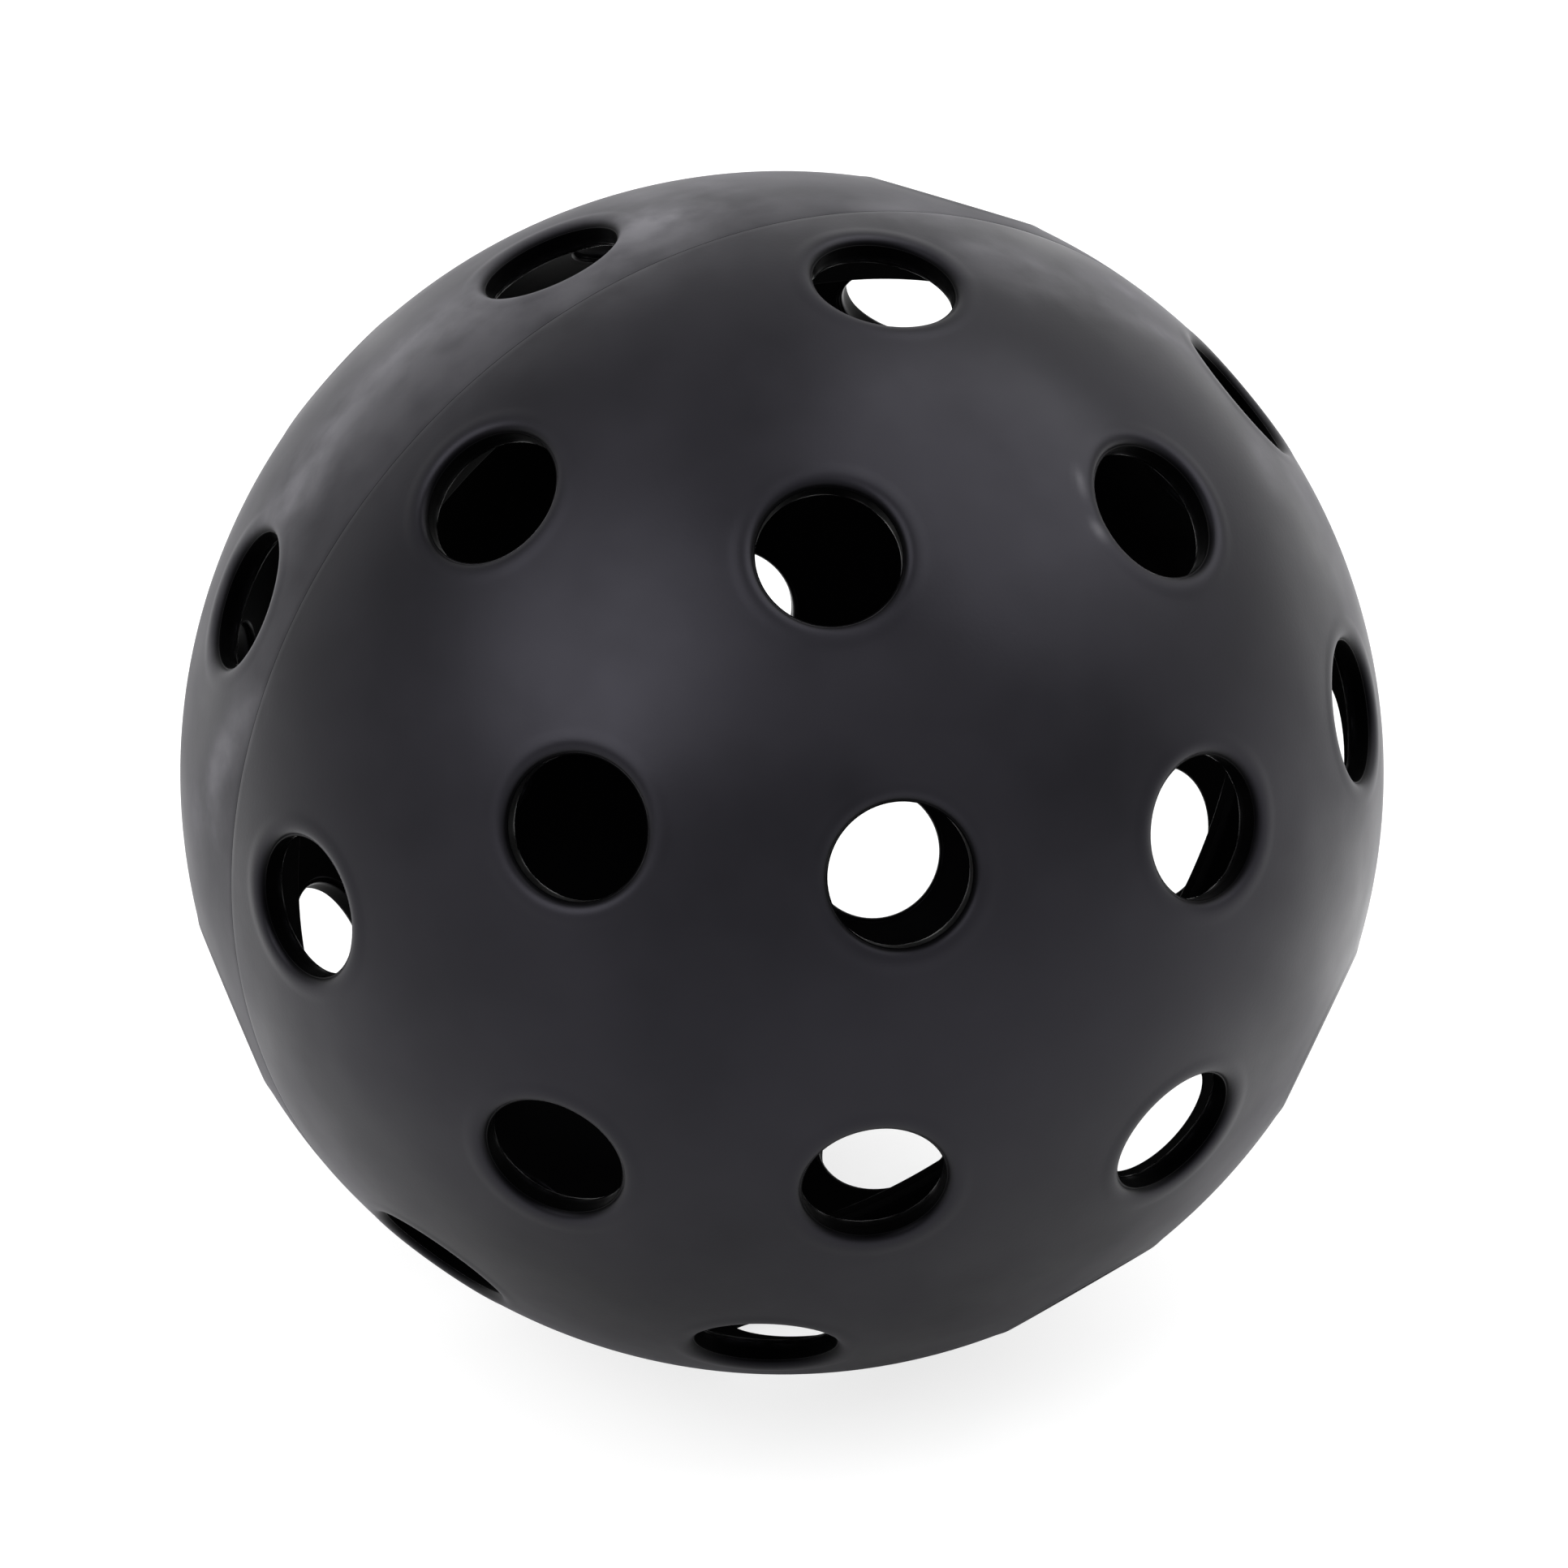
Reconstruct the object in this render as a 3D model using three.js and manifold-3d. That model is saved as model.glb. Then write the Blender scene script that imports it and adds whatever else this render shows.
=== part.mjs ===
// A hollow court ball with round holes, moulded as two half shells and welded at its middle.
// Millimetres, +Z up. The origin is the ball's centre, the moulding axis is Y and the seam is the plane y = 0.
// The front half lies towards -Y and carries the tongue, and the rear half lies towards +Y and carries the groove.

import * as THREE from 'three';
import { mergeVertices } from 'three/addons/utils/BufferGeometryUtils.js';
import Module from 'manifold-3d';

const wasm = await Module();
wasm.setup();

// Ball
const ballDiameter = 74.0;
const wallThickness = 1.8;

// Holes: a straight bore, rounded where it meets the outside and bevelled where it meets the inside
const holeDiameter = 8.6;
const holeLipRadius = 0.75;
const holeInnerBevel = 0.3;

// Rings of holes in each half: the angle from that half's pole, and how many holes share the ring
const poleRingAngle = 23.0;
const poleRingHoles = 4;
const middleRingAngle = 50.5;
const middleRingHoles = 8;
const seamRingAngle = 77.6;
const seamRingHoles = 8;

// How far the front half's pattern is turned from +X towards +Z, and the rear half's from the front half's
const patternTurn = 130.4;
const rearHalfTurn = 23.7;

// Joint flange: how far it stands in from the wall, and its width in one half at its edge and at its root
const flangeHeight = 2.3;
const flangeEdgeWidth = 0.85;
const flangeRootWidth = 2.2;

// Tongue and groove
const seamLandWidth = 1.2;
const tongueWidth = 1.0;
const tongueHeight = 1.0;
const grooveClearance = 0.1;

// Weld at the bottom of the groove, and the break of the outer edges at the seam
const weldThickness = 0.3;
const seamBevel = 0.12;

// Fineness of the round faces
const turnSegments = 40;
const shellArcSteps = 10;
const holeSegments = 16;
const lipArcSteps = 2;

const degree = Math.PI / 180;
const outerRadius = ballDiameter / 2;
const innerRadius = outerRadius - wallThickness;
const flangeInnerRadius = innerRadius - flangeHeight;
const grooveOuterRadius = outerRadius - seamLandWidth;
const tongueOuterRadius = grooveOuterRadius - grooveClearance;
const tongueInnerRadius = tongueOuterRadius - tongueWidth;
const grooveInnerRadius = tongueInnerRadius - grooveClearance;
const grooveDepth = tongueHeight + weldThickness;
const holeRadius = holeDiameter / 2;

// Height of a sphere over the plane through its centre, at a distance from its axis.
function sphereHeight(radius, distance) {
  return Math.sqrt(radius * radius - distance * distance);
}

// Points along a circle in the profile's plane, from one angle to another.
function arcPoints(centreX, centreY, radius, startAngle, endAngle, steps) {
  const points = [];
  for (let i = 0; i <= steps; i += 1) {
    const angle = startAngle + ((endAngle - startAngle) * i) / steps;
    points.push(new THREE.Vector2(centreX + radius * Math.cos(angle), centreY + radius * Math.sin(angle)));
  }
  return points;
}

// A closed geometry as a solid that can be cut and joined.
function toSolid(geometry) {
  const bare = geometry.clone();
  bare.deleteAttribute('normal');
  bare.deleteAttribute('uv');
  const merged = mergeVertices(bare);
  const corners = merged.index.array;
  const faces = [];
  for (let i = 0; i < corners.length; i += 3) {
    const [a, b, c] = [corners[i], corners[i + 1], corners[i + 2]];
    if (a !== b && b !== c && c !== a) {
      faces.push(a, b, c);
    }
  }
  const vertProperties = new Float32Array(merged.attributes.position.array);
  const triVerts = new Uint32Array(faces);
  return new wasm.Manifold(new wasm.Mesh({ numProp: 3, vertProperties, triVerts }));
}

// A finished solid as a geometry.
function toGeometry(solid) {
  const { vertProperties, triVerts } = solid.getMesh();
  const geometry = new THREE.BufferGeometry();
  geometry.setAttribute('position', new THREE.BufferAttribute(new Float32Array(vertProperties), 3));
  geometry.setIndex(new THREE.BufferAttribute(new Uint32Array(triVerts), 1));
  geometry.computeVertexNormals();
  return geometry;
}

// Profile of one half, with its pole at the bottom and its joint face at height 0.
// The key runs round the joint face: a tongue where its height is positive and a groove where it is negative.
function halfProfile(keyOuterRadius, keyInnerRadius, keyHeight) {
  const outerEnd = -Math.asin(seamBevel / outerRadius);
  const innerStart = -Math.asin(flangeRootWidth / innerRadius);
  const pole = -Math.PI / 2;
  const outerFace = arcPoints(0, 0, outerRadius, pole, outerEnd, shellArcSteps);
  const innerFace = arcPoints(0, 0, innerRadius, innerStart, pole, shellArcSteps);
  outerFace[0].x = 0;
  innerFace[shellArcSteps].x = 0;
  return [
    ...outerFace,
    new THREE.Vector2(outerRadius - seamBevel, 0),
    new THREE.Vector2(keyOuterRadius, 0),
    new THREE.Vector2(keyOuterRadius, keyHeight),
    new THREE.Vector2(keyInnerRadius, keyHeight),
    new THREE.Vector2(keyInnerRadius, 0),
    new THREE.Vector2(flangeInnerRadius, 0),
    new THREE.Vector2(flangeInnerRadius, -flangeEdgeWidth),
    ...innerFace,
  ];
}

// The cutter for one hole, standing on +Y, from inside the wall to outside it.
function holeCutter() {
  const past = wallThickness / 2;
  const innerHeight = sphereHeight(innerRadius, holeRadius);
  const lipCentreX = holeRadius + holeLipRadius;
  const lipCentreY = sphereHeight(outerRadius - holeLipRadius, lipCentreX);
  const lipTangent = Math.atan2(lipCentreY, lipCentreX);
  const lipEnd = lipTangent + 12 * degree;
  const lip = arcPoints(lipCentreX, lipCentreY, holeLipRadius, Math.PI, lipEnd, lipArcSteps);
  const lipEdge = lip[lipArcSteps];
  const flare = new THREE.Vector2(Math.sin(lipEnd), -Math.cos(lipEnd)).multiplyScalar(past);
  const profile = [
    new THREE.Vector2(0, innerHeight - past),
    new THREE.Vector2(holeRadius + holeInnerBevel + past, innerHeight - past),
    new THREE.Vector2(holeRadius, innerHeight + holeInnerBevel),
    ...lip,
    new THREE.Vector2(lipEdge.x + flare.x, lipEdge.y + flare.y),
    new THREE.Vector2(lipEdge.x + flare.x, outerRadius + past),
    new THREE.Vector2(0, outerRadius + past),
  ];
  return toSolid(new THREE.LatheGeometry(profile, holeSegments));
}

// The directions of all holes in one half. side is -1 for the front half and 1 for the rear half.
function holeDirections(side, turn) {
  const rings = [
    { angle: poleRingAngle, count: poleRingHoles, start: 0 },
    { angle: middleRingAngle, count: middleRingHoles, start: 180 / middleRingHoles },
    { angle: seamRingAngle, count: seamRingHoles, start: 0 },
  ];
  const directions = [];
  for (const ring of rings) {
    for (let i = 0; i < ring.count; i += 1) {
      const around = (turn + ring.start + (360 * i) / ring.count) * degree;
      const reach = Math.sin(ring.angle * degree);
      const depth = side * Math.cos(ring.angle * degree);
      directions.push(new THREE.Vector3(reach * Math.cos(around), depth, reach * Math.sin(around)));
    }
  }
  return directions;
}

// One half shell with its holes cut.
function halfShell(side, turn, profile) {
  const cutter = holeCutter();
  const upwards = new THREE.Vector3(0, 1, 0);
  let solid = toSolid(new THREE.LatheGeometry(profile, turnSegments));
  for (const direction of holeDirections(side, turn)) {
    const turned = new THREE.Quaternion().setFromUnitVectors(upwards, direction);
    const place = new THREE.Matrix4().makeRotationFromQuaternion(turned);
    solid = solid.subtract(cutter.transform(place.toArray()));
  }
  return toGeometry(solid);
}

function plastic(colour, roughness) {
  return new THREE.MeshStandardMaterial({ color: colour, roughness, metalness: 0, flatShading: true });
}

function frontHalfShell() {
  const profile = halfProfile(tongueOuterRadius, tongueInnerRadius, tongueHeight);
  const mesh = new THREE.Mesh(halfShell(-1, patternTurn, profile), plastic(0x353538, 0.55));
  mesh.name = 'front_half_shell';
  return mesh;
}

function rearHalfShell() {
  const profile = halfProfile(grooveOuterRadius, grooveInnerRadius, -grooveDepth);
  const mirrored = profile.map((point) => new THREE.Vector2(point.x, -point.y)).reverse();
  const mesh = new THREE.Mesh(halfShell(1, patternTurn + rearHalfTurn, mirrored), plastic(0x434347, 0.6));
  mesh.name = 'rear_half_shell';
  return mesh;
}

// The weld lies face to face with the tongue's tip and the groove's floor.
function weldRing() {
  const profile = [
    new THREE.Vector2(tongueInnerRadius, tongueHeight),
    new THREE.Vector2(tongueOuterRadius, tongueHeight),
    new THREE.Vector2(tongueOuterRadius, grooveDepth),
    new THREE.Vector2(tongueInnerRadius, grooveDepth),
    new THREE.Vector2(tongueInnerRadius, tongueHeight),
  ];
  const mesh = new THREE.Mesh(new THREE.LatheGeometry(profile, turnSegments), plastic(0x28282a, 0.4));
  mesh.name = 'weld_ring';
  return mesh;
}

const ball = new THREE.Group();
ball.name = 'ball';
ball.add(frontHalfShell(), rearHalfShell(), weldRing());

export default ball;
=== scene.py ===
"""Looks of a hollow perforated court ball: a front and a rear half shell, and the weld between them.

Everything is in metres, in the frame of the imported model: +Z is up, the origin is the ball's centre, the
moulding axis is Y and the seam is the plane y = 0. The front half shell lies towards -Y.
"""

import logging
import math
from dataclasses import dataclass, field
from enum import Enum
from typing import Dict, List, Optional, Sequence, Tuple, Union

import bmesh
import bpy
import numpy as np
from mathutils import Matrix, Vector
from mathutils.geometry import delaunay_2d_cdt


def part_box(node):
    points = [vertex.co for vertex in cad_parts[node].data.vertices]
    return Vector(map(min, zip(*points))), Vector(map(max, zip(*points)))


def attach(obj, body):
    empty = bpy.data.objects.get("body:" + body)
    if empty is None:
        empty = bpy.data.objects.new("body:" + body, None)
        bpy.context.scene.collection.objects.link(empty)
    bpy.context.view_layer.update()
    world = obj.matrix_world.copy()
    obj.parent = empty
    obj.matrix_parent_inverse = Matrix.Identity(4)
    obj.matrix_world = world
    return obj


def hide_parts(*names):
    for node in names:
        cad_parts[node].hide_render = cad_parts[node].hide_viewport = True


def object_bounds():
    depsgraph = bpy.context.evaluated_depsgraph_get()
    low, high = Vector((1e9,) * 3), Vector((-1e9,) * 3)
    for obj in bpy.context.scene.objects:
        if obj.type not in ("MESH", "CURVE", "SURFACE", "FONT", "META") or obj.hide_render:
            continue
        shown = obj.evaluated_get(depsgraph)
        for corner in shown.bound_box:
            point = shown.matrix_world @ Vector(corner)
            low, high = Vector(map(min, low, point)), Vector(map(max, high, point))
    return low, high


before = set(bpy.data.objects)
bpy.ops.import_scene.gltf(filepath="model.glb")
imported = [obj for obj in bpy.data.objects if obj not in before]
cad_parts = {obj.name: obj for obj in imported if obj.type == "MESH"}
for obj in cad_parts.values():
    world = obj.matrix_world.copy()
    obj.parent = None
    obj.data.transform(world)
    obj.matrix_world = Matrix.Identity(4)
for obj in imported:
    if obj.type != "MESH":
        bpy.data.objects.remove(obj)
cad_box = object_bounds()

LOG = logging.getLogger("ball")
MM = 0.001
HALF_STEP = 0.5

Pair = Tuple[float, float]
Profile = List[Pair]
Colour = Tuple[float, float, float]
Faces = List[Tuple[int, ...]]
Value = Union[float, bpy.types.NodeSocket]
Tone = Union[Colour, bpy.types.NodeSocket]


class Side(Enum):
    """Which half shell, as the sign of its pole along Y."""

    FRONT = -1
    REAR = 1


class Region(Enum):
    """Regions of a half shell's mesh, as material indices."""

    OUTSIDE = 0
    INSIDE = 1


@dataclass(frozen=True)
class HoleRing:
    """A ring of equally spaced holes around a half shell's pole.

    Args:
        name: The ring's name.
        polar: Angle from the pole, in degrees.
        count: How many holes share the ring.
        start: Turn of the first hole from the pattern's own start, in degrees.
    """

    name: str
    polar: float
    count: int
    start: float


@dataclass(frozen=True)
class BallSizes:
    """The ball's sizes, in metres and degrees. The outer radius and the tongue come from the frame.

    Args:
        outer_radius: Radius of the ball.
        tongue_height: How far the tongue stands out of the front half's joint face.
        wall: Thickness of the wall.
        hole_diameter: Diameter of a hole's straight bore.
        crown_width: Width of the slightly raised crown around a hole.
        crown_height: Height of the crown over the ball's surface.
        lip_width: Width of the soft shoulder between the crown and the bore.
        lip_steepness: How steeply the shoulder falls to the ledge.
        ledge_width: Width of the narrow ledge at the shoulder's foot.
        ledge_depth: Depth of the ledge under the ball's surface.
        ledge_rounding: Rounding between the ledge and the bore.
        inner_edge_radius: Rounding where the bore meets the inside.
        pattern_turn: Turn of the front half's pattern from +X towards +Z.
        rear_half_turn: Turn of the rear half's pattern from the front half's.
        flange_height: How far the joint flange stands in from the wall.
        flange_edge_width: Width of one half's flange at its edge.
        flange_root_width: Its width where its flank would meet the wall.
        flange_fillet_width: Its width where its fillet ends on the wall.
        flange_edge_radius: Rounding of its edge.
        seam_edge_radius: Rounding of the joint face's edges.
        seam_land_width: Width of the joint face outside the groove.
        tongue_width: Width of the tongue.
        groove_clearance: Play between the tongue and each side of the groove.
        weld_thickness: Height of the weld between the tongue's tip and the groove's floor.
        rings: The rings of holes in each half.
    """

    outer_radius: float
    tongue_height: float
    wall: float = 1.8 * MM
    hole_diameter: float = 8.6 * MM
    crown_width: float = 0.7 * MM
    crown_height: float = 0.035 * MM
    lip_width: float = 1.0 * MM
    lip_steepness: float = 68.0
    ledge_width: float = 0.08 * MM
    ledge_depth: float = 0.46 * MM
    ledge_rounding: float = 0.04 * MM
    inner_edge_radius: float = 0.4 * MM
    pattern_turn: float = 130.4
    rear_half_turn: float = 23.7
    flange_height: float = 2.3 * MM
    flange_edge_width: float = 0.85 * MM
    flange_root_width: float = 2.2 * MM
    flange_fillet_width: float = 2.6 * MM
    flange_edge_radius: float = 0.2 * MM
    seam_edge_radius: float = 0.02 * MM
    seam_land_width: float = 1.2 * MM
    tongue_width: float = 1.0 * MM
    groove_clearance: float = 0.1 * MM
    weld_thickness: float = 0.3 * MM
    rings: Tuple[HoleRing, ...] = (
        HoleRing("pole", 23.0, 4, 0.0),
        HoleRing("middle", 50.5, 8, 22.5),
        HoleRing("seam", 77.6, 8, 0.0),
    )

    @property
    def inner_radius(self) -> float:
        """Radius of the inside of the wall."""
        return self.outer_radius - self.wall

    @property
    def hole_radius(self) -> float:
        """Radius of a hole's straight bore."""
        return self.hole_diameter / 2

    @property
    def tongue_outer_radius(self) -> float:
        """Outer radius of the tongue on the front half's joint face."""
        return self.outer_radius - self.seam_land_width - self.groove_clearance

    @property
    def tongue_inner_radius(self) -> float:
        """Inner radius of the tongue."""
        return self.tongue_outer_radius - self.tongue_width

    @property
    def groove_depth(self) -> float:
        """Depth of the groove in the rear half's joint face."""
        return self.tongue_height + self.weld_thickness

    def turn(self, side: Side) -> float:
        """Turn of a half's hole pattern from +X towards +Z, in degrees."""
        return self.pattern_turn + (self.rear_half_turn if side is Side.REAR else 0.0)


def ease(share: float) -> float:
    """A share from 0 to 1, bent so that it starts and ends softly."""
    return share * share * (3 - 2 * share)


def arc(centre: Pair, radius: float, start: float, end: float, steps: int) -> Profile:
    """Points along a circle in a profile's plane.

    Args:
        centre: The circle's centre.
        radius: Its radius.
        start: First angle, in radians.
        end: Last angle, in radians.
        steps: Number of segments.

    Returns:
        The points, both ends included.
    """
    angles = [start + (end - start) * i / steps for i in range(steps + 1)]
    return [(centre[0] + radius * math.cos(a), centre[1] + radius * math.sin(a)) for a in angles]


def bend(start: Pair, corner: Pair, end: Pair, steps: int) -> Profile:
    """Points along a soft corner that leaves start towards corner and arrives at end from corner.

    Args:
        start: Where the bend begins.
        corner: Where its two tangents meet.
        end: Where it ends.
        steps: Number of segments.

    Returns:
        The points, both ends included.
    """
    points = []
    for i in range(steps + 1):
        t = i / steps
        weights = ((1 - t) ** 2, 2 * t * (1 - t), t * t)
        points.append(tuple(sum(w * p[k] for w, p in zip(weights, (start, corner, end))) for k in (0, 1)))
    return points


def link(name: str, data: bpy.types.ID) -> bpy.types.Object:
    """Makes an object and links it to the scene.

    Args:
        name: The object's name.
        data: Its mesh, lamp or camera.

    Returns:
        The new object.
    """
    thing = bpy.data.objects.new(name, data)
    bpy.context.scene.collection.objects.link(thing)
    return thing


def mesh_object(
    name: str, vertices: Sequence[Sequence[float]], faces: Sequence[Sequence[int]], smooth: bool = True
) -> bpy.types.Object:
    """Links a new mesh object whose place is in its vertices.

    Args:
        name: The name of the object and its mesh.
        vertices: The points, in metres.
        faces: The numbers of each face's points.
        smooth: Whether the faces are shaded smooth.

    Returns:
        The new object.
    """
    mesh = bpy.data.meshes.new(name)
    mesh.from_pydata([tuple(v) for v in vertices], [], [tuple(f) for f in faces])
    mesh.polygons.foreach_set("use_smooth", [smooth] * len(mesh.polygons))
    mesh.update()
    return link(name, mesh)


def run_tree(
    holder: bpy.types.Object, tree: bpy.types.NodeTree, values: Dict[str, object]
) -> bpy.types.Mesh:
    """Runs a Geometry Nodes tree on an object.

    Args:
        holder: The object whose mesh the tree starts from.
        tree: The tree.
        values: What its inputs are set to, by their names.

    Returns:
        The result as a plain mesh.
    """
    modifier = holder.modifiers.new(tree.name, "NODES")
    modifier.node_group = tree
    for item in tree.interface.items_tree:
        if item.in_out == "INPUT" and item.name in values:
            modifier[item.identifier] = values[item.name]
    graph = bpy.context.evaluated_depsgraph_get()
    mesh = bpy.data.meshes.new_from_object(holder.evaluated_get(graph), depsgraph=graph)
    holder.modifiers.remove(modifier)
    return mesh


def close_mesh(mesh: bpy.types.Mesh, sharp_angle: float, merge_distance: float = 0.0) -> int:
    """Turns all faces of a closed mesh outwards, shades them smooth and marks the sharp edges.

    Args:
        mesh: The mesh.
        sharp_angle: How far two faces turn at a sharp edge, in degrees.
        merge_distance: How near two points lie that become one. At 0 no points are merged.

    Returns:
        How many edges are open.
    """
    work = bmesh.new()
    work.from_mesh(mesh)
    if merge_distance > 0:
        bmesh.ops.remove_doubles(work, verts=work.verts, dist=merge_distance)
    bmesh.ops.recalc_face_normals(work, faces=work.faces)
    if work.calc_volume(signed=True) < 0:
        bmesh.ops.reverse_faces(work, faces=work.faces)
    open_edges = sum(not edge.is_manifold for edge in work.edges)
    work.to_mesh(mesh)
    work.free()
    mesh.polygons.foreach_set("use_smooth", [True] * len(mesh.polygons))
    mesh.set_sharp_from_angle(angle=math.radians(sharp_angle))
    mesh.update()
    return open_edges


@dataclass
class HoleCollar:
    """The wall of one hole, standing on +Z.

    From the outside in it has a slightly raised crown, a soft shoulder, a narrow ledge, a straight bore and
    a rounded inner edge. Its attribute lip_shade is painted shade: how much darker than the body each row is
    drawn, as the shade in and around the hole would make it.

    Args:
        sizes: The ball's sizes.
        segments: Points around each row.
        crown_steps: Rows of the crown.
        shoulder_steps: Segments down the shoulder.
        rounding_steps: Segments around the ledge's rounding.
        bore_steps: Segments down the bore.
        edge_steps: Segments around the inner edge.
        shade_start: Share of the shoulder at which its painted shade starts.
        shade_run: Share of the shoulder over which the painted shade grows.
        shoulder_shade: Painted shade at the shoulder's foot.
        bore_shade: Painted shade of the ledge and the bore.
        edge_shade: Painted shade of the inner edge, which dims its glints.
    """

    sizes: BallSizes
    segments: int = 80
    crown_steps: int = 5
    shoulder_steps: int = 9
    rounding_steps: int = 3
    bore_steps: int = 3
    edge_steps: int = 4
    shade_start: float = 0.35
    shade_run: float = 0.6
    shoulder_shade: float = 0.94
    bore_shade: float = 0.97
    edge_shade: float = 0.2
    crown: Profile = field(init=False)
    shoulder: Profile = field(init=False)
    ledge: Profile = field(init=False)
    bore: Profile = field(init=False)
    edge: Profile = field(init=False)

    def __post_init__(self) -> None:
        """Works out the stretches of the collar's profile from the ball's sizes."""
        sizes = self.sizes
        bore = sizes.hole_radius
        shoulder = bore + sizes.lip_width
        slope = shoulder / self._surface(shoulder)
        self.crown = []
        for i in range(self.crown_steps):
            share = i / self.crown_steps
            x = shoulder + sizes.crown_width * (1 - share)
            self.crown.append((x, self._surface(x) + sizes.crown_height * ease(share)))
        start = (shoulder, self._surface(shoulder) + sizes.crown_height)
        ledge = (bore + sizes.ledge_width, self._surface(bore) - sizes.ledge_depth)
        corner_x = ledge[0] + sizes.ledge_depth / math.tan(math.radians(sizes.lip_steepness))
        corner = (corner_x, start[1] + (shoulder - corner_x) * slope)
        self.shoulder = bend(start, corner, ledge, self.shoulder_steps)
        rounding = sizes.ledge_rounding
        foot = (bore, ledge[1] - rounding)
        self.ledge = bend((bore + rounding, ledge[1]), (bore, ledge[1]), foot, self.rounding_steps)
        edge = sizes.inner_edge_radius
        centre_x = bore + edge
        centre_y = math.sqrt((sizes.inner_radius + edge) ** 2 - centre_x**2)
        tangent = math.pi + math.atan2(centre_y, centre_x)
        self.edge = arc((centre_x, centre_y), edge, math.pi, tangent, self.edge_steps)
        shares = [i / self.bore_steps for i in range(1, self.bore_steps)]
        self.bore = [(bore, foot[1] + (centre_y - foot[1]) * share) for share in shares]

    def _surface(self, x: float) -> float:
        """Height of the ball's outside at a distance from the hole's axis."""
        return math.sqrt(self.sizes.outer_radius**2 - x * x)

    def _shade(self) -> List[float]:
        """Painted shade of each row of the profile: how much darker than the body it is drawn."""
        steps = self.shoulder_steps
        ramp = [min(max((i / steps - self.shade_start) / self.shade_run, 0), 1) for i in range(steps + 1)]
        shoulder = [self.shoulder_shade * ease(share) for share in ramp]
        bore = [self.bore_shade] * (len(self.ledge) + len(self.bore))
        return [0.0] * len(self.crown) + shoulder + bore + [self.edge_shade] * len(self.edge)

    @property
    def profile(self) -> Profile:
        """The collar's profile, from the outside of the wall to the inside."""
        return self.crown + self.shoulder + self.ledge + self.bore + self.edge

    def rim(
        self, outside: bool, place: Matrix, shift: float = 0.0, count: Optional[int] = None
    ) -> np.ndarray:
        """Points around the collar's end on the wall's outside or inside.

        Args:
            outside: True for the outer end.
            place: Rotation that stands the collar on its hole's direction.
            shift: How far past the rim the points lie, along the wall.
            count: How many points; the collar's own segments by default.

        Returns:
            An array of the points. The rim's own points match the collar's vertices, and those past it are
            turned by half a step.
        """
        x, y = self.profile[0] if outside else self.profile[-1]
        radius = math.hypot(x, y)
        angle = math.atan2(x, y) + shift / radius
        if shift:
            x, y = radius * math.sin(angle), radius * math.cos(angle)
        number = count or self.segments
        stagger = HALF_STEP if shift else 0.0
        points = []
        for i in range(number):
            around = 2 * math.pi * (i + stagger) / number
            points.append(place @ Vector((x * math.cos(around), x * math.sin(around), y)))
        return np.array(points, float)

    def angular_radius(self, outside: bool) -> float:
        """Angle between the hole's axis and its rim, seen from the ball's centre."""
        x, y = self.profile[0] if outside else self.profile[-1]
        return math.atan2(x, y)

    def build(self, name: str) -> bpy.types.Object:
        """Builds the collar as a mesh strip, with the attributes bore_face and lip_shade, its painted shade.

        Args:
            name: The object's name.

        Returns:
            The collar.
        """
        profile = self.profile
        vertices = []
        for x, y in profile:
            for i in range(self.segments):
                around = 2 * math.pi * i / self.segments
                vertices.append((x * math.cos(around), x * math.sin(around), y))
        faces = []
        for row in range(len(profile) - 1):
            for i in range(self.segments):
                j = (i + 1) % self.segments
                low, high = row * self.segments, (row + 1) * self.segments
                faces.append((low + i, high + i, high + j, low + j))
        piece = mesh_object(name, vertices, faces)
        mark = piece.data.attributes.new("bore_face", "BOOLEAN", "FACE")
        first_bore_row = len(self.crown) + len(self.shoulder)
        mark.data.foreach_set("value", [n // self.segments >= first_bore_row for n in range(len(faces))])
        # lip_shade is painted shade: it darkens the shoulder, the ledge and the bore as if they lay in the
        # hole's shade.
        shade = piece.data.attributes.new("lip_shade", "FLOAT", "POINT")
        shade.data.foreach_set("value", [value for value in self._shade() for _ in range(self.segments)])
        return piece


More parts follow.
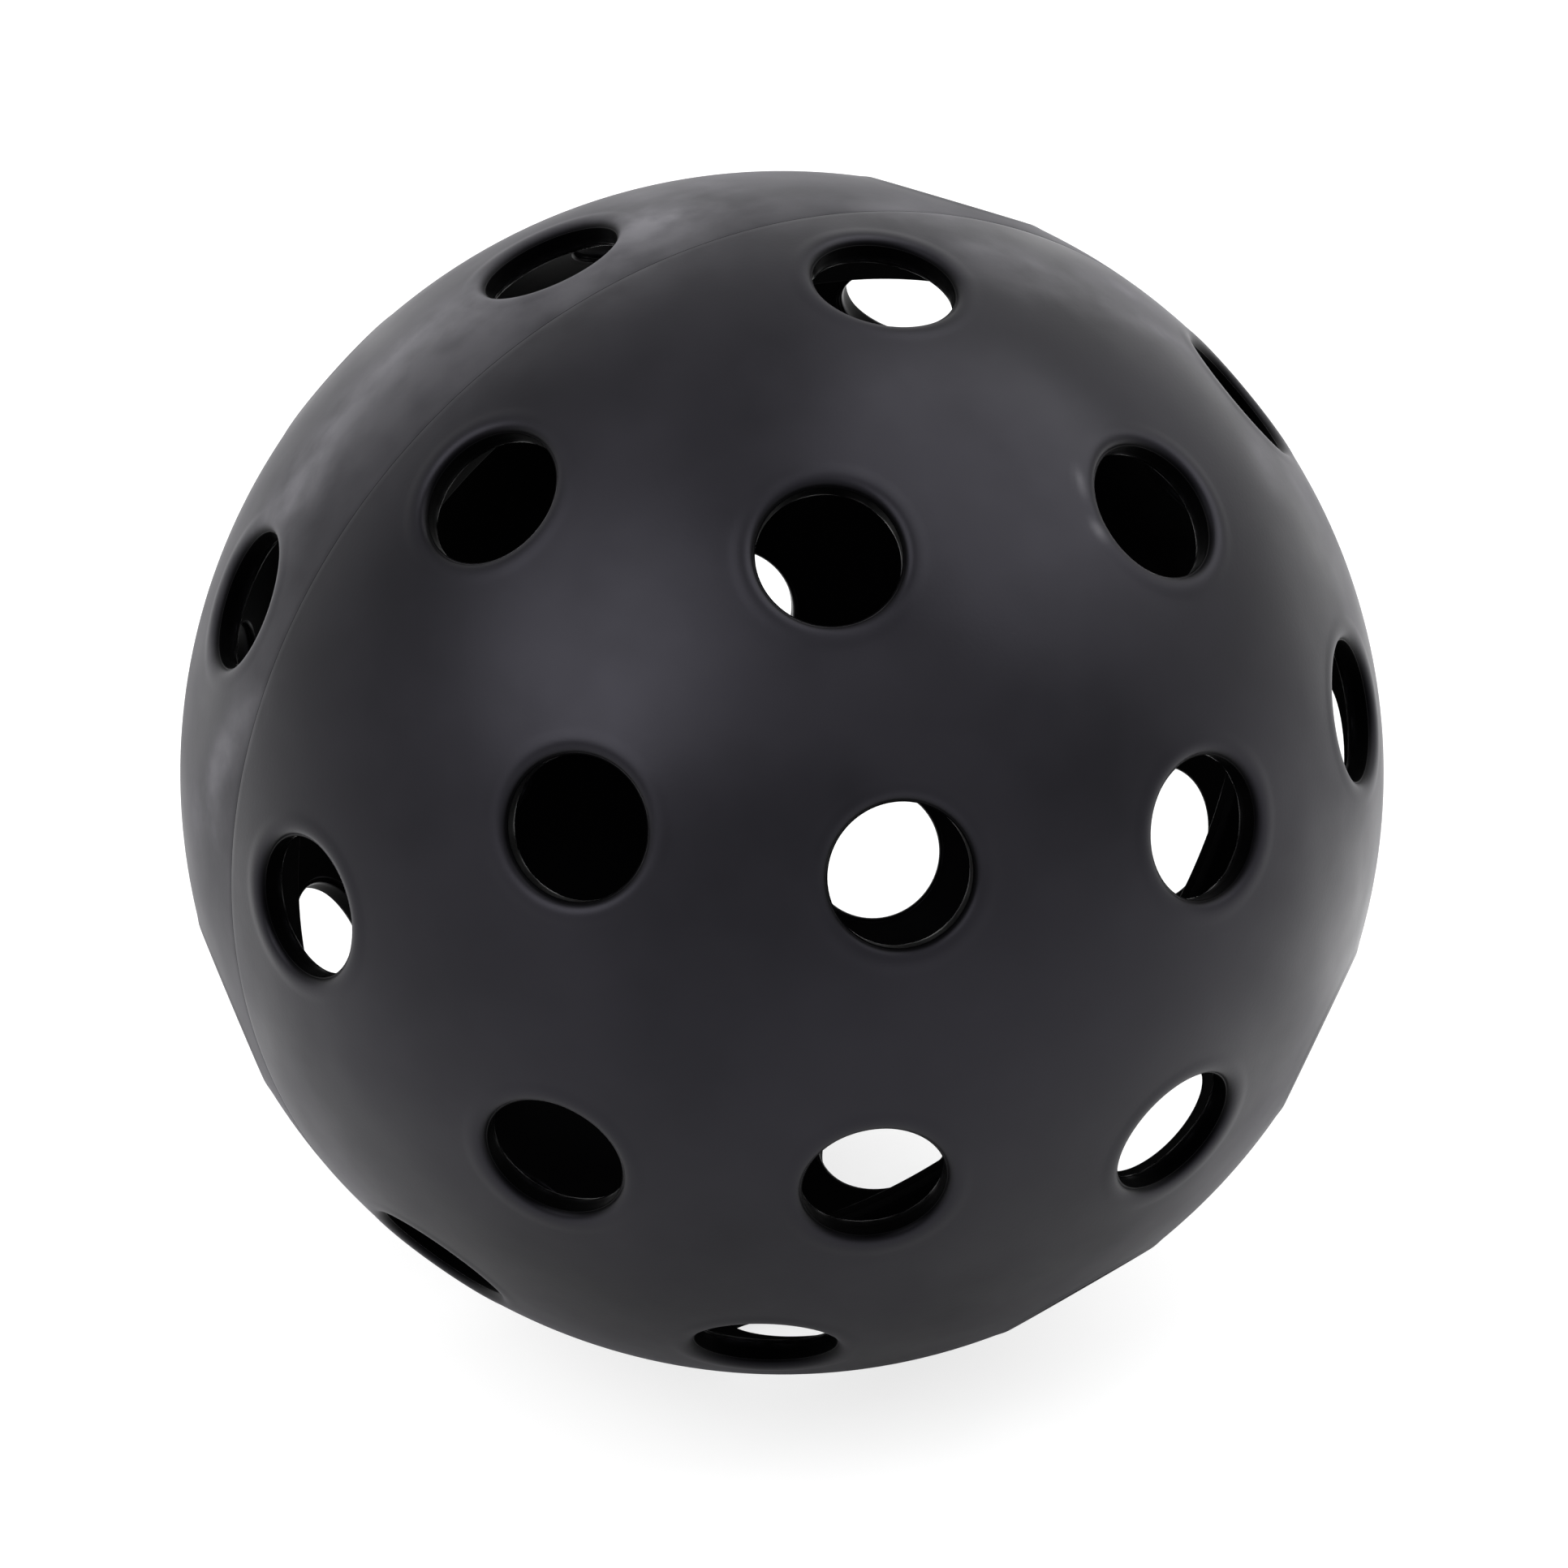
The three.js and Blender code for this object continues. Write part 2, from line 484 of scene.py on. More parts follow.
@dataclass
class NodeSheet:
    """A node tree with short calls that add nodes and join them.

    Args:
        tree: The tree.
    """

    tree: bpy.types.NodeTree

    def add(
        self, kind: str, inputs: Optional[Dict[Union[int, str], object]] = None, **settings: object
    ) -> bpy.types.Node:
        """Adds a node.

        Args:
            kind: The node's type name.
            inputs: Values or output sockets, by input name or number.
            settings: Properties of the node itself.

        Returns:
            The new node.
        """
        node = self.tree.nodes.new(kind)
        for key, value in settings.items():
            setattr(node, key, value)
        for key, value in (inputs or {}).items():
            if isinstance(value, bpy.types.NodeSocket):
                self.tree.links.new(value, node.inputs[key])
            else:
                node.inputs[key].default_value = value
        return node

    def math(
        self, operation: str, first: Value, second: Value = 0.0, third: Value = 0.0
    ) -> bpy.types.NodeSocket:
        """Adds a Math node.

        Args:
            operation: What it does.
            first: Its first number.
            second: Its second number.
            third: What MULTIPLY_ADD adds to the product of the other two.

        Returns:
            The result.
        """
        inputs = {0: first, 1: second}
        if operation == "MULTIPLY_ADD":
            inputs[2] = third
        return self.add("ShaderNodeMath", inputs, operation=operation).outputs[0]

    def ramp(
        self, value: bpy.types.NodeSocket, band: Pair, ends: Pair = (0.0, 1.0), soft: bool = False
    ) -> bpy.types.NodeSocket:
        """Adds a Map Range node.

        Args:
            value: The number that it reads.
            band: Where the ramp starts and where it ends.
            ends: The results there and past there.
            soft: Whether the ramp starts and ends softly.

        Returns:
            The result.
        """
        inputs = {0: value, 1: band[0], 2: band[1], 3: ends[0], 4: ends[1]}
        kind = "SMOOTHSTEP" if soft else "LINEAR"
        return self.add("ShaderNodeMapRange", inputs, interpolation_type=kind).outputs[0]

    def mix(self, share: Value, first: Tone, second: Tone) -> bpy.types.NodeSocket:
        """Mixes two colours.

        Args:
            share: Share of the second colour.
            first: The first colour.
            second: The second colour.

        Returns:
            The mixed colour.
        """
        inputs = {0: share}
        for key, value in ((6, first), (7, second)):
            inputs[key] = value if isinstance(value, bpy.types.NodeSocket) else (*value, 1.0)
        return self.add("ShaderNodeMix", inputs, data_type="RGBA").outputs[2]


@dataclass
class PerforationTree:
    """Geometry Nodes tree that stands a collar on every hole of a half shell and joins them to its wall.

    Args:
        sizes: The ball's sizes.
        name: The tree's name.
        merge_distance: How near two points lie that become one.
    """

    sizes: BallSizes
    name: str = "Perforations"
    merge_distance: float = 0.004 * MM
    tree: bpy.types.NodeTree = field(init=False)

    def __post_init__(self) -> None:
        """Makes the tree, with the pattern's sizes as named inputs."""
        self.tree = bpy.data.node_groups.new(self.name, "GeometryNodeTree")
        kinds = {
            "Geometry": "NodeSocketGeometry",
            "Collar": "NodeSocketObject",
            "Collar Material": "NodeSocketMaterial",
            "Pole Side": "NodeSocketFloat",
            "Pattern Turn": "NodeSocketFloat",
            "Merge Distance": "NodeSocketFloat",
        }
        for ring in self.sizes.rings:
            title = ring.name.title()
            kinds[f"{title} Ring Angle"] = "NodeSocketFloat"
            kinds[f"{title} Ring Holes"] = "NodeSocketInt"
            kinds[f"{title} Ring Start"] = "NodeSocketFloat"
        for name, kind in kinds.items():
            self.tree.interface.new_socket(name, in_out="INPUT", socket_type=kind)
        self.tree.interface.new_socket("Geometry", in_out="OUTPUT", socket_type="NodeSocketGeometry")
        self._lay_nodes()

    def _ring_of_collars(self, sheet: NodeSheet, given: bpy.types.Node, title: str) -> bpy.types.NodeSocket:
        """Adds the nodes that stand a collar on each hole of one ring.

        Args:
            sheet: The tree's sheet.
            given: The node of the tree's inputs.
            title: The ring's name in those inputs.

        Returns:
            The collars as instances.
        """
        out = given.outputs
        points = sheet.add("GeometryNodePoints", {"Count": out[f"{title} Ring Holes"]})
        index = sheet.add("GeometryNodeInputIndex").outputs[0]
        step = sheet.math("DIVIDE", 2 * math.pi, out[f"{title} Ring Holes"])
        start = sheet.math("ADD", out["Pattern Turn"], out[f"{title} Ring Start"])
        around = sheet.math("MULTIPLY_ADD", index, step, sheet.math("RADIANS", start))
        turn = sheet.math("SUBTRACT", math.pi / 2, around)
        polar = sheet.math("RADIANS", out[f"{title} Ring Angle"])
        tilt = sheet.math("MULTIPLY", sheet.math("SUBTRACT", polar, math.pi / 2), out["Pole Side"])
        euler = sheet.add("ShaderNodeCombineXYZ", {"X": tilt, "Y": turn})
        rotation = sheet.add("FunctionNodeEulerToRotation", {0: euler.outputs[0]})
        collar = sheet.add("GeometryNodeObjectInfo", {"Object": out["Collar"]})
        inputs = {
            "Points": points.outputs[0],
            "Instance": collar.outputs["Geometry"],
            "Rotation": rotation.outputs[0],
        }
        return sheet.add("GeometryNodeInstanceOnPoints", inputs).outputs[0]

    def _lay_nodes(self) -> None:
        """Joins the rings of collars to the wall, and ends in Realize Instances and Set Material."""
        sheet = NodeSheet(self.tree)
        given = sheet.add("NodeGroupInput")
        joined = sheet.add("GeometryNodeJoinGeometry")
        for ring in self.sizes.rings:
            collars = self._ring_of_collars(sheet, given, ring.name.title())
            self.tree.links.new(collars, joined.inputs[0])
        self.tree.links.new(given.outputs["Geometry"], joined.inputs[0])
        real = sheet.add("GeometryNodeRealizeInstances", {"Geometry": joined.outputs[0]})
        inputs = {"Geometry": real.outputs[0], "Distance": given.outputs["Merge Distance"]}
        merged = sheet.add("GeometryNodeMergeByDistance", inputs)
        marked = sheet.add("GeometryNodeInputNamedAttribute", {"Name": "bore_face"}, data_type="BOOLEAN")
        inputs = {
            "Geometry": merged.outputs[0],
            "Selection": marked.outputs["Attribute"],
            "Material": given.outputs["Collar Material"],
        }
        finish = sheet.add("GeometryNodeSetMaterial", inputs)
        sheet.add("NodeGroupOutput", {"Geometry": finish.outputs[0]})

    def apply(
        self, wall: bpy.types.Object, side: Side, collar: bpy.types.Object, finish: bpy.types.Material
    ) -> bpy.types.Mesh:
        """Runs the tree on a wall.

        Args:
            wall: The half shell's wall, with its holes open.
            side: Which half it is.
            collar: The collar to stand on each hole.
            finish: The material of the bores.

        Returns:
            The finished half shell as a plain mesh.
        """
        values = {
            "Collar": collar,
            "Collar Material": finish,
            "Pole Side": float(side.value),
            "Pattern Turn": self.sizes.turn(side),
            "Merge Distance": self.merge_distance,
        }
        for ring in self.sizes.rings:
            title = ring.name.title()
            values[f"{title} Ring Angle"] = ring.polar
            values[f"{title} Ring Holes"] = ring.count
            values[f"{title} Ring Start"] = ring.start
        return run_tree(wall, self.tree, values)


@dataclass(frozen=True)
class ShellFinishes:
    """The materials of one half shell.

    Args:
        outside: Material of the outside and of the holes' lips.
        inside: Material of the inside and of the joint.
        bore: Material of the holes' bores.
    """

    outside: bpy.types.Material
    inside: bpy.types.Material
    bore: bpy.types.Material


@dataclass
class HalfShell:
    """One moulded half of the ball.

    Args:
        sizes: The ball's sizes.
        side: Which half it is.
        node: The node that it stands for.
        seam_segments: Segments around the joint.
        spacing: Distance between the wall's points, away from the holes and the joint.
        rim_rows: Rows of points around each hole, each as its distance from the rim and its number of points.
        row_clearance: How far the rows' points keep from other holes and from the joint.
        hole_clearance: How far the wall's points keep from the last row, as a share of their spacing.
        joint_clearance: How far they keep from the row beside the joint, as a share of their spacing.
        bend_steps: Segments around a rounded corner of the joint.
        break_steps: Segments around the edge between the joint face and the flange.
        fillet_start: Share of the flange's flank at which its fillet starts.
        flat_tolerance: How near two points lie that become one when flattened. The flat pattern has no unit.
        sharp_angle: How far two faces turn at a sharp edge, in degrees.
    """

    sizes: BallSizes
    side: Side
    node: str
    seam_segments: int = 360
    spacing: float = 0.85 * MM
    rim_rows: Tuple[Tuple[float, int], ...] = ((0.42 * MM, 80), (0.95 * MM, 64))
    row_clearance: float = 0.15 * MM
    hole_clearance: float = 0.7
    joint_clearance: float = 0.6
    bend_steps: int = 4
    break_steps: int = 3
    fillet_start: float = 0.7
    flat_tolerance: float = 1e-9
    sharp_angle: float = 40.0
    collar: HoleCollar = field(init=False)

    def __post_init__(self) -> None:
        """Makes the collar that all of this half's holes share."""
        self.collar = HoleCollar(self.sizes)

    def hole_places(self) -> List[Matrix]:
        """Finds the holes of this half.

        Returns:
            For each hole, the rotation that stands a collar on it.
        """
        places = []
        for ring in self.sizes.rings:
            tilt = self.side.value * (math.radians(ring.polar) - math.pi / 2)
            for i in range(ring.count):
                around = math.radians(self.sizes.turn(self.side) + ring.start + 360 * i / ring.count)
                places.append(Matrix.Rotation(math.pi / 2 - around, 3, "Y") @ Matrix.Rotation(tilt, 3, "X"))
        return places

    def joint_profile(self) -> Profile:
        """Draws the joint, with the half's body below height 0.

        Returns:
            Its profile, from the wall's outside to its inside.
        """
        sizes = self.sizes
        edge = sizes.seam_edge_radius
        outer = math.sqrt(sizes.outer_radius**2 - edge**2)
        front = self.side is Side.FRONT
        gap = 0.0 if front else sizes.groove_clearance
        key = sizes.tongue_height if front else -sizes.groove_depth
        key_outer, key_inner = sizes.tongue_outer_radius + gap, sizes.tongue_inner_radius - gap
        inner_edge = sizes.inner_radius - sizes.flange_height
        rounding = sizes.flange_edge_radius
        root = (math.sqrt(sizes.inner_radius**2 - sizes.flange_root_width**2), -sizes.flange_root_width)
        end = (math.sqrt(sizes.inner_radius**2 - sizes.flange_fillet_width**2), -sizes.flange_fillet_width)
        corner = (inner_edge, -sizes.flange_edge_width)
        flank = Vector((root[0] - corner[0], root[1] - corner[1]))
        after_corner = Vector(corner) + flank.normalized() * rounding
        before_root = Vector(corner) + flank * self.fillet_start
        steps = self.bend_steps
        profile = arc((outer - edge, -edge), edge, 0.0, math.pi / 2, steps)
        profile += [(key_outer, 0.0), (key_outer, key), (key_inner, key), (key_inner, 0.0)]
        profile += bend((inner_edge + edge, 0.0), (inner_edge, 0.0), (inner_edge, -edge), self.break_steps)
        profile += bend((inner_edge, rounding - sizes.flange_edge_width), corner, tuple(after_corner), steps)
        profile += bend(tuple(before_root), root, end, steps)
        return profile

    def _around(self, radius: float, height: float, count: int, stagger: float = 0.0) -> np.ndarray:
        """Points on a circle about the moulding axis.

        Args:
            radius: The circle's radius.
            height: Its height over the seam, negative within this half.
            count: How many points.
            stagger: Share of a step by which they are turned.

        Returns:
            An array of the points.
        """
        angles = 2 * np.pi * (np.arange(count) + stagger) / count
        level = np.full(count, -height * self.side.value)
        return np.stack([radius * np.cos(angles), level, radius * np.sin(angles)], axis=1)

    def _lattice(self, radius: float) -> np.ndarray:
        """Evenly spread points on this half of a sphere, each the golden angle further around.

        Args:
            radius: The sphere's radius.

        Returns:
            An array of the points.
        """
        count = int(2 * math.pi * radius**2 / (self.spacing**2 * math.sin(math.pi / 3)))
        index = np.arange(count) + HALF_STEP
        depth = 1 - index / count
        reach = np.sqrt(1 - depth**2)
        around = index * math.pi * (3 - math.sqrt(5))
        level = depth * self.side.value
        return radius * np.stack([reach * np.cos(around), level, reach * np.sin(around)], axis=1)

    @staticmethod
    def _nearest(points: np.ndarray, axes: np.ndarray) -> np.ndarray:
        """Distance along the sphere from each point to the nearest of some axes."""
        radius = np.linalg.norm(points, axis=1)
        return np.arccos(np.clip(points @ axes.T / radius[:, None], -1, 1)).min(axis=1) * radius

    def _web(self, outside: bool, border: np.ndarray) -> Tuple[np.ndarray, Faces]:
        """The wall's outer or inner surface, as a sheet of even triangles between the holes.

        Args:
            outside: True for the outer surface.
            border: The sheet's border, the circle where it meets the joint.

        Returns:
            The vertices and the triangles.
        """
        places = self.hole_places()
        loops = [border] + [self.collar.rim(outside, place) for place in places]
        radius = float(np.linalg.norm(border[0]))
        axes = np.array([place @ Vector((0, 0, 1)) for place in places], float)
        extra = [self.collar.rim(outside, p, shift, n) for p in places for shift, n in self.rim_rows]
        height = abs(border[0, 1]) + self.rim_rows[0][0]
        extra.append(self._around(math.sqrt(radius**2 - height**2), -height, len(border), HALF_STEP))
        rows = np.concatenate(extra)
        lattice = self._lattice(radius)
        rim = self.collar.angular_radius(outside) * radius
        inland = np.abs(rows[:, 1]) > abs(border[0, 1]) + self.row_clearance
        rows = rows[(self._nearest(rows, axes) > rim + self.row_clearance) & inland]
        clear = rim + self.rim_rows[-1][0] + self.hole_clearance * self.spacing
        inland = np.abs(lattice[:, 1]) > height + self.joint_clearance * self.spacing
        lattice = lattice[(self._nearest(lattice, axes) > clear) & inland]
        points = np.concatenate(loops + [rows, lattice])
        return points, self._triangles(points, loops, radius)

    def _triangles(self, points: np.ndarray, loops: List[np.ndarray], radius: float) -> Faces:
        """Joins points on a sphere into triangles, and leaves the holes open.

        Args:
            points: The points, those of the loops first.
            loops: The border and the rims of the holes.
            radius: The sphere's radius.

        Returns:
            The triangles.
        """
        owner = np.concatenate([np.full(len(loop), n) for n, loop in enumerate(loops)])
        edges = []
        first = 0
        for loop in loops:
            edges += [(first + i, first + (i + 1) % len(loop)) for i in range(len(loop))]
            first += len(loop)
        # The half sphere is flattened as seen from the other half's pole, where no part hides another.
        scale = 2 / (radius + points[:, 1] * self.side.value)
        flat = [Vector((p[0] * s, p[2] * s)) for p, s in zip(points, scale)]
        found = delaunay_2d_cdt(flat, edges, [], 0, self.flat_tolerance)
        origin = [ids[0] for ids in found[3]]
        faces = []
        for triangle in found[2]:
            corners = tuple(origin[v] for v in triangle)
            owners = {owner[c] if c < first else -1 for c in corners}
            if len(owners) > 1 or -1 in owners:
                faces.append(corners)
        return faces

    def _strip(self, profile: Profile) -> Tuple[np.ndarray, Faces]:
        """The joint, as a profile revolved about the moulding axis.

        Args:
            profile: The profile.

        Returns:
            The vertices and the faces.
        """
        count = self.seam_segments
        points = np.concatenate([self._around(x, y, count) for x, y in profile])
        faces = []
        for row in range(len(profile) - 1):
            for i in range(count):
                j = (i + 1) % count
                low, high = row * count, (row + 1) * count
                faces.append((low + i, low + j, high + j, high + i))
        return points, faces

    def _wall(self, finishes: ShellFinishes) -> bpy.types.Object:
        """Builds the joint and both sides of the wall, with the holes open.

        Args:
            finishes: The half's materials.

        Returns:
            The wall.
        """
        profile = self.joint_profile()
        strip, strip_faces = self._strip(profile)
        outer, outer_faces = self._web(True, self._around(*profile[0], self.seam_segments))
        inner, inner_faces = self._web(False, self._around(*profile[-1], self.seam_segments))
        inner_start = len(strip) + len(outer)
        faces = list(strip_faces)
        faces += [tuple(c + len(strip) for c in f) for f in outer_faces]
        faces += [tuple(c + inner_start for c in f) for f in inner_faces]
        wall = mesh_object(f"{self.node}_wall", np.concatenate([strip, outer, inner]), faces)
        for finish in (finishes.outside, finishes.inside):
            wall.data.materials.append(finish)
        middle = (self.sizes.outer_radius + self.sizes.inner_radius) / 2
        joint = len(strip_faces)
        regions = []
        for n, face in enumerate(wall.data.polygons):
            within = n < joint or face.center.length < middle
            regions.append(Region.INSIDE.value if within else Region.OUTSIDE.value)
        wall.data.polygons.foreach_set("material_index", regions)
        return wall

    def build(self, tree: PerforationTree, finishes: ShellFinishes) -> bpy.types.Object:
        """Builds the half shell.

        Args:
            tree: The tree that stands the collars on the holes.
            finishes: The materials of the outside, the inside and the bores.

        Returns:
            The finished piece.
        """
        wall = self._wall(finishes)
        collar = self.collar.build(f"{self.node}_collar")
        collar.data.materials.append(finishes.outside)
        mesh = tree.apply(wall, self.side, collar, finishes.bore)
        for helper in (wall, collar):
            bpy.data.objects.remove(helper)
        open_edges = close_mesh(mesh, self.sharp_angle, tree.merge_distance)
        name = self.side.name.lower()
        LOG.info("%s half: %d faces, %d open edges", name, len(mesh.polygons), open_edges)
        return link(f"{name}_half", mesh)


@dataclass
class WeldBead:
    """The ring of fused plastic at the bottom of the groove.

    Args:
        sizes: The ball's sizes.
        segments: Segments around the ring.
        rounding: Radius of its rounded corners.
        rounding_steps: How finely each of them is divided.
        sharp_angle: How far two faces turn at a sharp edge, in degrees.
    """

    sizes: BallSizes
    segments: int = 240
    rounding: float = 0.06 * MM
    rounding_steps: int = 3
    sharp_angle: float = 50.0

    def _tree(self, names: Sequence[str], finish: bpy.types.Material) -> bpy.types.NodeTree:
        """Lays a Geometry Nodes tree that sweeps a rounded section along a circle.

        Args:
            names: The names of its inputs.
            finish: The bead's material.

        Returns:
            The tree.
        """
        tree = bpy.data.node_groups.new("Weld bead", "GeometryNodeTree")
        tree.interface.new_socket("Geometry", in_out="OUTPUT", socket_type="NodeSocketGeometry")
        for name in names:
            tree.interface.new_socket(name, in_out="INPUT", socket_type="NodeSocketFloat")
        sheet = NodeSheet(tree)
        given = sheet.add("NodeGroupInput").outputs
        circle = {"Resolution": self.segments, "Radius": given["Ring Radius"]}
        ring = sheet.add("GeometryNodeCurvePrimitiveCircle", circle)
        size = {"Width": given["Bead Width"], "Height": given["Bead Thickness"]}
        section = sheet.add("GeometryNodeCurvePrimitiveQuadrilateral", size)
        corners = {
            "Curve": section.outputs[0],
            "Count": self.rounding_steps,
            "Radius": given["Bead Rounding"],
        }
        rounded = sheet.add("GeometryNodeFilletCurve", corners, mode="POLY")
        curves = {"Curve": ring.outputs[0], "Profile Curve": rounded.outputs[0]}
        swept = sheet.add("GeometryNodeCurveToMesh", curves)
        place = sheet.add("ShaderNodeCombineXYZ", {"Y": given["Bead Height"]})
        stood = sheet.add(
            "GeometryNodeTransform",
            {"Geometry": swept.outputs[0], "Translation": place.outputs[0], "Rotation": (math.pi / 2, 0, 0)},
        )
        real = sheet.add("GeometryNodeRealizeInstances", {"Geometry": stood.outputs[0]})
        done = sheet.add("GeometryNodeSetMaterial", {"Geometry": real.outputs[0], "Material": finish})
        sheet.add("NodeGroupOutput", {"Geometry": done.outputs[0]})
        return tree

    def build(self, finish: bpy.types.Material) -> bpy.types.Object:
        """Builds the bead.

        Args:
            finish: Its material.

        Returns:
            The finished piece.
        """
        sizes = self.sizes
        values = {
            "Ring Radius": (sizes.tongue_outer_radius + sizes.tongue_inner_radius) / 2,
            "Bead Width": sizes.tongue_width,
            "Bead Thickness": sizes.weld_thickness,
            "Bead Rounding": self.rounding,
            "Bead Height": sizes.tongue_height + sizes.weld_thickness / 2,
        }
        maker = mesh_object("weld_maker", [], [])
        mesh = run_tree(maker, self._tree(list(values), finish), values)
        bpy.data.objects.remove(maker)
        open_edges = close_mesh(mesh, self.sharp_angle)
        LOG.info("weld bead: %d faces, %d open edges", len(mesh.polygons), open_edges)
        return link("weld_bead", mesh)


@dataclass(frozen=True)
class Noise:
    """One layer of noise in a material.

    Args:
        size: About how large its features are, in metres.
        detail: How many finer layers lie within it.
    """

    size: float
    detail: float


@dataclass(frozen=True)
class MouldedPlastic:
    """Matte moulded plastic with faint mottling, chalky smudges that are partly painted sheen, dust specks, a
    fine grain and painted shade where the attribute lip_shade is set.

    Args:
        name: The material's name.
        body: Colour of the plastic.
        mottle: Colour of its cloudy patches.
        roughness: Roughness of the clean plastic.
        specular: Share of the reflection that the index of refraction gives, where 0.5 is all of it.
        unevenness: How far the roughness varies in its cloudy patches.
        lip_matting: How much rougher the surface is where lip_shade is full.
        sheen: Weight of the haze that shows where the surface turns away.
        chalk: Colour of the chalky smudges, which along the ball's outline are partly painted sheen.
        chalk_strength: Share of that colour where a smudge is densest.
        haze: How much thin chalk lies all over.
        speck_strength: Share of white in a speck of dust.
        grain: Height of the fine grain.
        seed: Place of this material's noise, so that no two look alike.
        refraction: Index of refraction.
        tint: Colour of the reflection where lip_shade is 0. Where lip_shade grows it turns towards black, a
            painted shade on the reflection.
        sheen_tint: Colour of the haze.
        sheen_roughness: Roughness of the haze.
        painted_shade_colour: Colour of the painted shade, where lip_shade is full.
        dust: Colour of the specks.
        chalk_matting: How much rougher the surface is where the chalk is full.
        mottling: Noise of the cloudy patches in the colour.
        mottling_band: Values of that noise between which the patches fade in.
        patches: Noise of the cloudy patches in the roughness.
        clouds: Coarse noise that breaks up the chalk.
        streaks: Fine noise that breaks up the chalk.
        clouds_share: Weight of the coarse noise in the chalk.
        streaks_share: Weight of the fine noise in the chalk.
        chalk_band: Values of their sum between which the chalk fades in.
        speck_spacing: About how far apart the specks are.
        speck_band: Where a speck fades in, from outside to inside, as shares of that spacing.
        grain_noise: Noise of the fine grain.
        waves: Noise of the slight waviness.
        wave_height: Height of the waviness.
    """

    name: str
    body: Colour
    mottle: Colour
    roughness: float
    specular: float
    unevenness: float = 0.3
    lip_matting: float = 0.0
    sheen: float = 0.0
    chalk: Colour = (0.16, 0.157, 0.168)
    chalk_strength: float = 0.8
    haze: float = 0.0
    speck_strength: float = 0.4
    grain: float = 0.004 * MM
    seed: float = 0.0
    refraction: float = 1.5
    tint: Colour = (0.86, 0.84, 1.0)
    sheen_tint: Colour = (0.93, 0.91, 1.0)
    sheen_roughness: float = 0.3
    painted_shade_colour: Colour = (0.0005, 0.0005, 0.0006)
    dust: Colour = (0.5, 0.5, 0.5)
    chalk_matting: float = 0.25
    mottling: Noise = Noise(14 * MM, 3)
    mottling_band: Pair = (0.35, 0.65)
    patches: Noise = Noise(12 * MM, 4)
    clouds: Noise = Noise(7 * MM, 2)
    streaks: Noise = Noise(2.6 * MM, 5)
    clouds_share: float = 0.6
    streaks_share: float = 0.5
    chalk_band: Pair = (0.38, 0.66)
    speck_spacing: float = 6.5 * MM
    speck_band: Pair = (0.022, 0.012)
    grain_noise: Noise = Noise(0.22 * MM, 3)
    waves: Noise = Noise(11 * MM, 1)
    wave_height: float = 0.12 * MM

    def build(self) -> bpy.types.Material:
        """Builds the material.

        Returns:
            The material.
        """
        material = bpy.data.materials.new(self.name)
        material.use_nodes = True
        material.node_tree.nodes.clear()
        sheet = NodeSheet(material.node_tree)
        place = sheet.add("ShaderNodeTexCoord").outputs["Object"]
        cloud = sheet.ramp(self._noise(sheet, place, self.mottling), self.mottling_band)
        colour = sheet.mix(cloud, self.body, self.mottle)
        chalk = self._chalk_and_sheen(sheet, place)
        colour = sheet.mix(chalk, colour, self.chalk)
        colour = sheet.mix(self._specks(sheet, place), colour, self.dust)
        # Painted shade around and in the holes: lip_shade darkens the colour towards painted_shade_colour.
        shade = sheet.add("ShaderNodeAttribute", attribute_name="lip_shade").outputs["Fac"]
        colour = sheet.mix(shade, colour, self.painted_shade_colour)
        rough = self._noise(sheet, place, self.patches)
        lowest = self.roughness - self.unevenness / 2
        rough = sheet.math("MULTIPLY_ADD", rough, self.unevenness, lowest)
        rough = sheet.math("MULTIPLY_ADD", chalk, self.chalk_matting, rough)
        rough = sheet.math("MULTIPLY_ADD", shade, self.lip_matting, rough)
        shader = sheet.add(
            "ShaderNodeBsdfPrincipled",
            {
                "Base Color": colour,
                "Roughness": rough,
                "IOR": self.refraction,
                "Specular IOR Level": self.specular,
                # Painted shade on the reflection: it turns to black where lip_shade is full.
                "Specular Tint": sheet.mix(shade, self.tint, (0.0, 0.0, 0.0)),
                "Sheen Weight": self.sheen,
                "Sheen Roughness": self.sheen_roughness,
                "Sheen Tint": (*self.sheen_tint, 1.0),
                "Normal": self._grain(sheet, place),
            },
        )
        sheet.add("ShaderNodeOutputMaterial", {"Surface": shader.outputs[0]})
        return material

    def _noise(self, sheet: NodeSheet, place: bpy.types.NodeSocket, noise: Noise) -> bpy.types.NodeSocket:
        """Adds a layer of noise.

        Args:
            sheet: The material's sheet.
            place: Where the noise is read.
            noise: Its size and detail.

        Returns:
            The noise, from 0 to 1.
        """
        inputs = {"Vector": place, "Scale": 1 / noise.size, "Detail": noise.detail, "W": self.seed}
        return sheet.add("ShaderNodeTexNoise", inputs, noise_dimensions="4D").outputs[0]

    def _chalk_and_sheen(self, sheet: NodeSheet, place: bpy.types.NodeSocket) -> bpy.types.NodeSocket:
        """Adds the smudges, partly chalk and partly painted sheen, from the piece's own attribute and a
        streaky noise.

        Args:
            sheet: The material's sheet.
            place: Where the noise is read.

        Returns:
            How strongly a point is smudged with chalk.
        """
        # The attribute chalk holds the chalk and, along the ball's outline, painted sheen.
        mask = sheet.add("ShaderNodeAttribute", attribute_name="chalk").outputs["Fac"]
        mask = sheet.math("ADD", mask, self.haze)
        clouds = self._noise(sheet, place, self.clouds)
        streaks = sheet.math("MULTIPLY", self._noise(sheet, place, self.streaks), self.streaks_share)
        broken = sheet.ramp(sheet.math("MULTIPLY_ADD", clouds, self.clouds_share, streaks), self.chalk_band)
        return sheet.math("MULTIPLY", sheet.math("MULTIPLY", mask, broken), self.chalk_strength)

